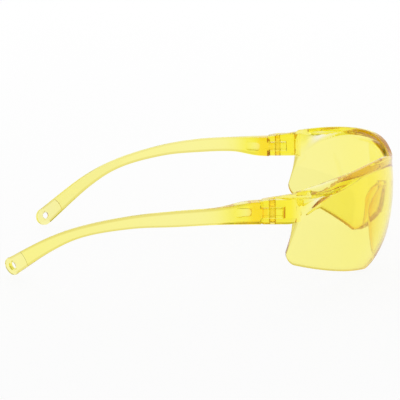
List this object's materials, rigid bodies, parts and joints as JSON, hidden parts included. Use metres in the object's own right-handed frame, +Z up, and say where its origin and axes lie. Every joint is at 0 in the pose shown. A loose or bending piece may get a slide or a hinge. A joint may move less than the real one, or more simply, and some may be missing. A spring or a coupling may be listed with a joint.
{
  "type": "safety glasses",
  "caption": "Wrap-round safety glasses of clear amber plastic: a one-piece shield lens with a brow shelf and nose channel, and folding temples with a cord hole at each tip.",
  "frame": {"origin": "on the table under the middle of the object's box, as the glasses stand open on the lens's lower edge and the temple tips", "axes": "+X to the wearer's left, -Y out of the front of the lens, +Z up"},
  "size_m": [0.1506, 0.155, 0.0436],
  "materials": {
    "amber_lens": "clear amber, polished",
    "amber_temple": "clear amber, polished",
    "amber_pin": "clear amber, satin"
  },
  "bodies": {
    "front": {"lens_shield": "amber_lens", "left_hinge_pin": "amber_pin", "right_hinge_pin": "amber_pin"},
    "left_arm": {"left_temple": "amber_temple"},
    "right_arm": {"right_temple": "amber_temple"}
  },
  "joints": [
    {"name": "left_temple_fold", "type": "hinge", "parent": "front", "child": "left_arm", "pos_m": [0.067, -0.0292, 0.0312], "axis": [0, 0, 1], "range_deg": [0, 80]},
    {"name": "right_temple_fold", "type": "hinge", "parent": "front", "child": "right_arm", "pos_m": [-0.067, -0.0292, 0.0312], "axis": [0, 0, -1], "range_deg": [0, 90]}
  ]
}
